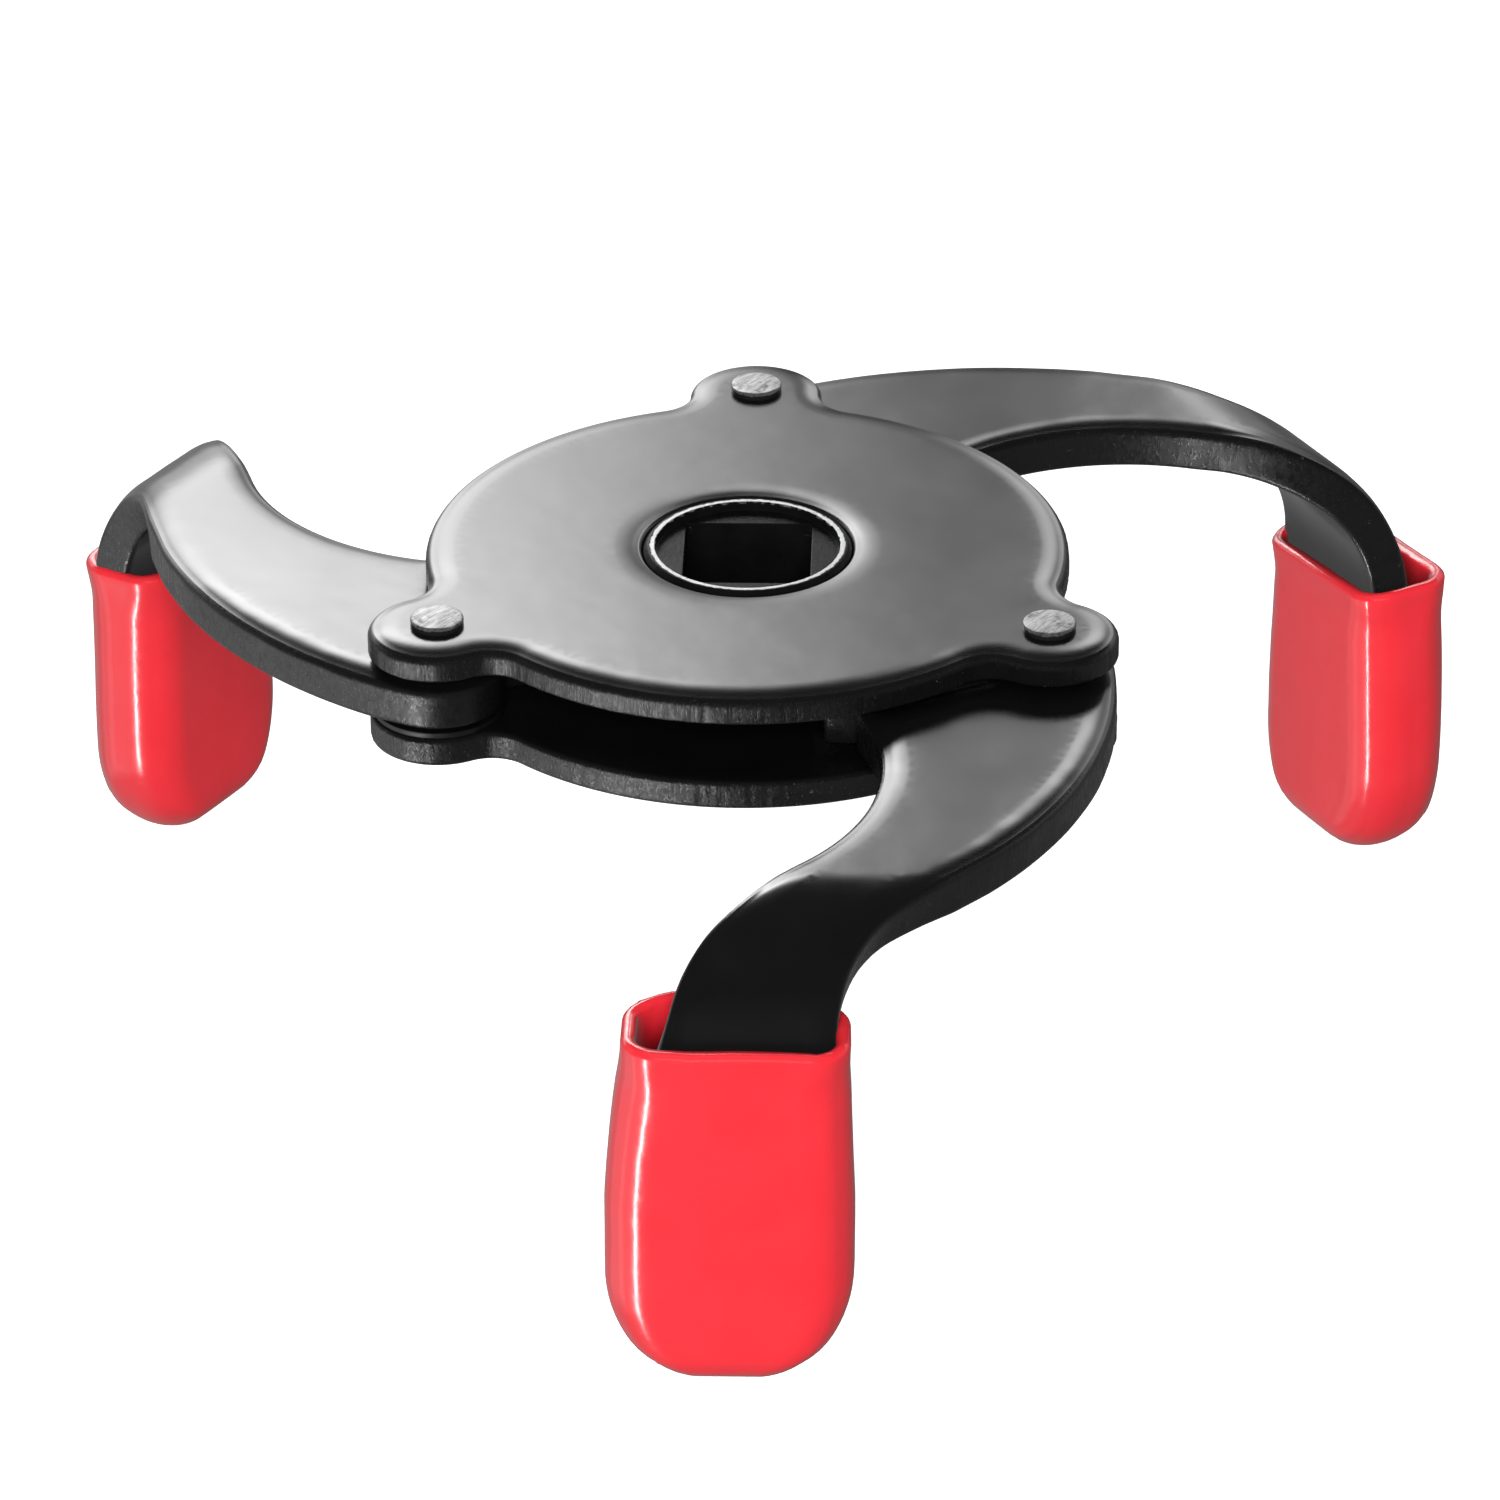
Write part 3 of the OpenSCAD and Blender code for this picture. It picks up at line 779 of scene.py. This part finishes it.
def section(half_w, half_t, corner, corner_steps=14, side_steps=18, end_steps=6):
    """Round-cornered rectangle as a closed loop, starting in the middle of its +X end."""
    corner = min(corner, half_t * 0.98, half_w * 0.98)
    w, t = half_w - corner, half_t - corner

    def steps(count):
        return np.linspace(0, 1, count, endpoint=False)

    def quarter(x, y, start):
        return [tuple(np.array([x, y]) + polar(corner, start + 90 * u)) for u in steps(corner_steps)]

    loop = [(half_w, t * u) for u in steps(end_steps)]
    loop += quarter(w, t, 0)
    loop += [(w - 2 * w * u, half_t) for u in steps(side_steps)]
    loop += quarter(-w, t, 90)
    loop += [(-half_w, t - 2 * t * u) for u in steps(2 * end_steps)]
    loop += quarter(-w, -t, 180)
    loop += [(-w + 2 * w * u, -half_t) for u in steps(side_steps)]
    loop += quarter(w, -t, 270)
    loop += [(half_w, -t + t * u) for u in steps(end_steps)]
    return np.array(loop)


def rounding(depth, across, up):
    """How far a side has drawn in at a depth above the foot, as a quarter of an ellipse."""
    if depth >= up:
        return 0.0
    return across * (1 - math.sqrt(max(0.0, 1 - (1 - depth / up) ** 2)))


def straight_step(x, low, high):
    """0 below low, 1 above high, and in proportion between them."""
    return min(1.0, max(0.0, (x - low) / (high - low)))


def smooth_step(x, low, high):
    """The same step, eased at both ends."""
    u = straight_step(x, low, high)
    return u * u * (3 - 2 * u)


def sleeve_ring(z, foot, inset, fit):
    """One level ring of the sleeve, about the leg's middle line, as (x, y) points in the arm's frame."""
    depth = max(0.0, z - foot - inset)
    left_r = fit.left_foot_r - inset
    right_r = fit.right_foot_r - inset
    edge_r = (SLEEVE_HALF_T - inset) * 0.93
    towards_mouth = straight_step(z, fit.outer_face - TAPER_LENGTH, fit.outer_face)
    left = SLEEVE_HALF_W - inset - rounding(depth, left_r, 1.25 * left_r)
    left -= fit.taper * towards_mouth ** 1.3
    right = SLEEVE_HALF_W - inset - rounding(depth, right_r, 1.25 * right_r)
    right -= 0.6 * towards_mouth
    half_t = SLEEVE_HALF_T - inset - rounding(depth, edge_r, edge_r)
    corner = 4.6 - 1.0 * smooth_step(z, fit.outer_face - 5.0, fit.outer_face)
    loop = section((left + right) / 2, half_t, corner - inset)
    loop[:, 0] += (right - left) / 2
    return loop


def sleeve_levels():
    """(inset, share, lift, swell, depth) for each ring, up the outside from the foot and down the inside.

    The depth tells how far inside the ring is, and sets how much painted shade the ring gets.
    """
    even_part = 0.62
    closer = np.sin(np.linspace(0, math.pi / 2, 22))[1:]
    shares = np.concatenate([np.linspace(0, even_part, 26), even_part + (1 - even_part) * closer])
    levels = []
    for share in shares[::-1]:
        bead = 0.12 * math.exp(-share / 0.03) - 0.07 * math.exp(-((share - 0.09) / 0.05) ** 2)
        levels.append((0.0, share, 0.0, bead, 0.0))
    for u in np.linspace(0, 1, 9)[1:-1]:
        a = math.pi * u
        inset = SLEEVE_WALL / 2 * (1 - math.cos(a))
        levels.append((inset, 0.0, 0.62 * math.sin(a), 0.12 * (1 - u), 0.15 * u))
    levels += [(SLEEVE_WALL, share, 0.0, 0.0, min(1.0, 0.2 + share * 6)) for share in shares]
    return levels


def sleeve_mouth(sample, fit, seed):
    """Height of the sleeve's mouth at each point of its section: slanted, and a little ragged."""
    heights = []
    for x, y in sample:
        u = (y + SLEEVE_HALF_T) / (2 * SLEEVE_HALF_T)
        ragged = 0.20 * noise.noise(Vector((x / 6 + seed, y / 6, 0.5)))
        ragged += 0.03 * noise.noise(Vector((x, y, seed)))
        level = fit.outer_face * (1 - u) + fit.filter_side * u
        heights.append(level - fit.slant * x / SLEEVE_HALF_W + ragged)
    return np.array(heights)


def sleeve_bulge(x, y, z, seed):
    """How far the sleeve's skin stands out at a point: crowned across its faces, and softly uneven."""
    on_face = 1 if abs(y) > 0.8 * SLEEVE_HALF_T else 0
    bulge = 0.30 * (1 - (x / SLEEVE_HALF_W) ** 2) * on_face
    bulge += 0.16 * noise.noise(Vector((x / 9 + seed, y / 9, z / 11)))
    return bulge + 0.02 * noise.noise(Vector((x / 3.5, y / 3.5 + seed, z / 4)))


def make_sleeve(k, side, material):
    """A dipped sleeve with its wall, its rolled lip, and its inside, closed under the leg's foot."""
    fit = FITS[side]
    foot = box_mm("sleeve_" + side)[0][2]
    seed = 20.0 + 7 * k
    sample = sleeve_ring(-25.0, foot, 0, fit)
    count = len(sample)
    out = outward(sample)
    mouth = sleeve_mouth(sample, fit, seed)
    points, painted_inside_shade = [], []
    for inset, share, lift, swell, depth in sleeve_levels():
        heights = (mouth + lift) * (1 - share) + (foot + inset) * share
        low, high = heights.min(), heights.max()
        rise = ((heights - low) / max(high - low, 1e-6))[:, None]
        ring = sleeve_ring(low, foot, inset, fit) * (1 - rise) + sleeve_ring(high, foot, inset, fit) * rise
        for i, (x, y) in enumerate(ring):
            z = heights[i]
            bulge = swell + sleeve_bulge(x, y, z, seed)
            bulge *= straight_step(z, foot + inset, foot + inset + 3.0)
            # The filter side of the lip is pressed outwards by the arm's bend
            press = 1.25 * smooth_step(z, -16.5, -12.8) if y > 0 else 0.0
            press *= smooth_step(x, -8.0, -5.0) * smooth_step(-x, -10.4, -8.0)
            skin_x = x + out[i][0] * bulge + fit.shift[0]
            skin_y = y + out[i][1] * bulge + press + fit.shift[1]
            points.append((skin_x, skin_y, z))
            painted_inside_shade.append(depth)
    last = len(points) - count
    faces = []
    for a in range(0, last, count):
        b = a + count
        for i in range(count):
            n = (i + 1) % count
            faces.append((a + i, a + n, b + n, b + i))
    faces.append(tuple(reversed(range(count))))
    faces.append(tuple(range(last, last + count)))
    moved = turn_points([(x, y - LEG_DISTANCE, z) for x, y, z in points], k)
    piece = add_mesh("sleeve_%s_vinyl" % side, moved, faces, side + "_arm", material,
                     ("sleeve_" + side,))
    # Painted shade: how dark each point is made inside the sleeve and on the inner side of its lip
    layer = piece.data.attributes.new("painted_inside_shade", "FLOAT", "POINT")
    layer.data.foreach_set("value", np.array(painted_inside_shade, dtype=np.float32))
    piece.visible_glossy = False


# ---- Rivets


def make_rivet(k, side, material):
    """A shouldered rivet with peened, slightly crowned heads."""
    shank, shoulder, head = 2.4, 4.0, 2.65
    chamfer = 0.2
    roll = 0.22

    def head_profile(face, direction):
        """From the axis out over the crown and down the head's side to the plate."""
        rows = [(0.0, face), (0.7, face), (1.4, face - direction * 0.02), (2.0, face - direction * 0.05)]
        for u in np.linspace(0, 1, 6):
            a = u * math.pi / 2
            sunk = 0.07 + roll * (1 - math.cos(a))
            rows.append((head - roll + roll * math.sin(a), face - direction * sunk))
        return rows

    upper = head_profile(HEAD_TOP, 1)
    upper += [(head, TOP_FACE), (head - 0.1, TOP_FACE - 0.12), (shank, TOP_FACE - chamfer)]
    eased = shoulder - chamfer
    middle = [(shank, TOP_UNDERSIDE), (eased, TOP_UNDERSIDE), (shoulder, TOP_UNDERSIDE - chamfer)]
    middle += [(shoulder, BOTTOM_FACE + chamfer), (eased, BOTTOM_FACE), (shank, BOTTOM_FACE)]
    lower = [(shank, BOTTOM_UNDERSIDE + chamfer), (head - 0.1, BOTTOM_UNDERSIDE + 0.12)]
    lower += [(head, BOTTOM_UNDERSIDE)] + head_profile(HEAD_BOTTOM, -1)[::-1]
    points, faces = revolved(upper + middle + lower, 72, 0.05, 2.2 * k)
    place = turned([PIVOT], k * ARM_STEP)[0]
    points = [(x + place[0], y + place[1], z) for x, y, z in points]
    name = "rivet_%s_steel" % side
    add_mesh(name, points, faces, "frame", material, ("rivet_" + side,))


# ---- Build

top_coat = black_coat("top_plate_coat", pits=1.0, streak_size=0.24, stretch=0.14, shine=0.5)
bottom_coat = black_coat("bottom_plate_coat", pits=1.0, streak_size=0.30, stretch=0.6, shine=0.5)
arm_coat = black_coat("arm_coat", pits=0.6, streak_size=0.55, stretch=0.5, shine=0.52)
vinyl = red_vinyl()
steel = rivet_steel()

make_plate("top_plate", TOP_FACE, TOP_UNDERSIDE, upper=Edge(1.2, 0.85, 4.8, 0.32), lower=Edge(0.35, 0.35),
           streak=0.10, lump=0.05, seed=1.0, material=top_coat)
make_plate("bottom_plate", BOTTOM_FACE, BOTTOM_UNDERSIDE, upper=Edge(0.7, 0.5), lower=Edge(0.5, 0.5),
           streak=0.12, lump=0.08, seed=5.0, material=bottom_coat)
for k, side in enumerate(ARMS):
    make_arm(k, side, arm_coat)
    make_sleeve(k, side, vinyl)
    make_rivet(k, side, steel)


def dress(node, material, bevel=0.0):
    """Gives a CAD node that stays in view its material, and softens its sharp edges."""
    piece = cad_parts[node]
    piece.data.materials.clear()
    piece.data.materials.append(material)
    if bevel:
        weld = piece.modifiers.new("weld", "WELD")
        weld.merge_threshold = 0.001 * MM
        soften = piece.modifiers.new("soften", "BEVEL")
        soften.width = bevel * MM
        soften.segments = 3
        soften.limit_method = "ANGLE"
        soften.angle_limit = math.radians(35)
        soften.harden_normals = True


dress("drive_hub", hub_coat(), 0.12)
washer_steel = plain_steel()
for side in ARMS:
    dress("washer_" + side, washer_steel, 0.06)

# ---- Stage: pale floor, soft lights, camera

FLOOR = FLOOR_Z * MM
TOOL_MIDDLE = Vector((0, 0, -0.03))
WHITE = (1, 1, 1, 1)


def add_stage(name, corners, material):
    """A flat four-cornered piece of the stage, which casts no shadow and lights nothing by itself."""
    mesh = bpy.data.meshes.new(name)
    mesh.from_pydata(corners, [], [(0, 1, 2, 3)])
    mesh.materials.append(material)
    piece = bpy.data.objects.new(name, mesh)
    bpy.context.scene.collection.objects.link(piece)
    piece.visible_diffuse = False
    piece.visible_shadow = False
    return piece


def make_floor():
    """A white floor just under the lowest sleeve, which the tool neither reflects nor shades."""
    material, n, shader, place = new_material("floor")
    cloud = n.noise(place, 120.0)
    n.put(shader, "Base Color", n.mix(cloud, (0.93, 0.93, 0.93, 1), (0.95, 0.95, 0.95, 1)))
    shader.inputs["Roughness"].default_value = 0.9
    shader.inputs["Specular IOR Level"].default_value = 0.0
    shader.inputs["Emission Color"].default_value = WHITE
    shader.inputs["Emission Strength"].default_value = 0.88
    size = 6.0
    corners = [(-size, -size, FLOOR), (size, -size, FLOOR), (size, size, FLOOR), (-size, size, FLOOR)]
    floor = add_stage("floor", corners, material)
    floor.visible_glossy = False


def make_world():
    """Studio walls, grey behind the tool and dark in front and overhead, with grey light from below."""
    world = bpy.data.worlds.new("studio")
    world.use_nodes = True
    n = Nodes(world.node_tree)
    parts = n.add("ShaderNodeSeparateXYZ", {0: n.add("ShaderNodeTexCoord").outputs["Generated"]}).outputs
    behind = n.ramp(parts[1], -0.3, 0.5, 0.05, 0.42)
    low_enough = n.ramp(parts[2], 0.45, 0.70, 1.0, 0.0)
    wall = n.math("MULTIPLY", behind, low_enough)
    ground = n.ramp(parts[0], -0.6, 0.2, 0.45, 0.15)
    above_floor = n.ramp(parts[2], -0.12, 0.02)
    background = world.node_tree.nodes["Background"]
    n.put(background, "Strength", n.math("ADD", n.blend(above_floor, ground, wall), 0.05))
    background.inputs["Color"].default_value = WHITE
    bpy.context.scene.world = world


def make_screen():
    """A soft screen behind the tool, only for its reflections: bright on the left, dim on the right."""
    material, n, shader, place = new_material("screen")
    across, _, up = n.add("ShaderNodeSeparateXYZ", {0: place}).outputs
    left_rise = n.ramp(across, -0.42, -0.14, 0.15, 1.0)
    left_fall = n.ramp(across, -0.12, 0.04, 6.3, 0.0)
    right_rise = n.ramp(across, 0.035, 0.085, 0.0, 3.4)
    right_fall = n.ramp(across, 0.10, 0.20, 1.0, 0.1)
    left = n.math("MULTIPLY", left_fall, left_rise)
    right = n.math("MULTIPLY", right_rise, right_fall)
    total = n.math("ADD", n.math("ADD", left, right), 0.45)
    upright = n.math("MULTIPLY", n.ramp(up, 0.36, 0.43, 1.0, 0.0), n.ramp(up, 0.05, 0.20, 0.25, 1.0))
    # The band that the front arm reflects is brighter than the one that the plate reflects
    glow = n.ramp(up, 0.280, 0.307, 1.0, 2.2)
    strength = n.math("MULTIPLY", n.math("MULTIPLY", total, upright), glow)
    emission = n.add("ShaderNodeEmission", {"Color": WHITE, "Strength": strength})
    n.tree.nodes.remove(shader)
    n.put(n.tree.nodes["Material Output"], "Surface", emission.outputs[0])
    corners = [(-1.0, 0.5, -0.02), (1.0, 0.5, -0.02), (1.0, 0.5, 0.60), (-1.0, 0.5, 0.60)]
    screen = add_stage("screen", corners, material)
    screen.visible_camera = False


def add_light(name, place, size, power, glossy=True, diffuse=True):
    """A rectangular light that points at the middle of the tool."""
    data = bpy.data.lights.new(name, "AREA")
    data.shape = "RECTANGLE"
    data.size, data.size_y = size
    data.energy = power
    light = bpy.data.objects.new(name, data)
    bpy.context.scene.collection.objects.link(light)
    light.location = Vector(place)
    direction = TOOL_MIDDLE - light.location
    light.rotation_mode = "QUATERNION"
    light.rotation_quaternion = direction.to_track_quat("-Z", "Y")
    light.visible_glossy = glossy
    light.visible_diffuse = diffuse


def make_camera():
    """A long lens in front of the tool, a little to its right, looking down at 29 degrees."""
    data = bpy.data.cameras.new("camera")
    data.lens = 182.1
    data.sensor_width = 36.0
    data.clip_start, data.clip_end = 0.01, 20
    camera = bpy.data.objects.new("camera", data)
    bpy.context.scene.collection.objects.link(camera)
    azimuth, pitch, roll = (math.radians(a) for a in (1.66, 29.14, 0.354))
    level = Vector((-math.sin(azimuth), math.cos(azimuth), 0))
    ahead = level * math.cos(pitch) - Vector((0, 0, math.sin(pitch)))
    right = Vector((math.cos(azimuth), math.sin(azimuth), 0))
    up = right.cross(ahead)
    across = right * math.cos(roll) - up * math.sin(roll)
    upright = right * math.sin(roll) + up * math.cos(roll)
    turn = Matrix((across, upright, -ahead)).transposed()
    camera.matrix_world = Matrix.Translation((0.0198, -0.6790, 0.3549)) @ turn.to_4x4()
    bpy.context.scene.camera = camera


make_floor()
make_world()
make_screen()
# The high lights shade the tool, and the low ones are only there for its upright faces to reflect
add_light("front_soft", (-0.02, -0.85, 0.34), (0.5, 0.5), 10, glossy=False)
add_light("top_soft", (-0.1, -0.05, 0.9), (0.8, 0.8), 3, glossy=False)
add_light("low_strip", (-0.38, -0.48, -0.34), (0.03, 0.26), 2.0, diffuse=False)
add_light("low_veil", (-0.58, -0.30, -0.36), (0.6, 0.35), 0.5, diffuse=False)
add_light("low_left", (-0.90, 0.05, -0.50), (0.6, 0.5), 0.5, diffuse=False)
make_camera()
bpy.context.scene.view_settings.view_transform = "Standard"
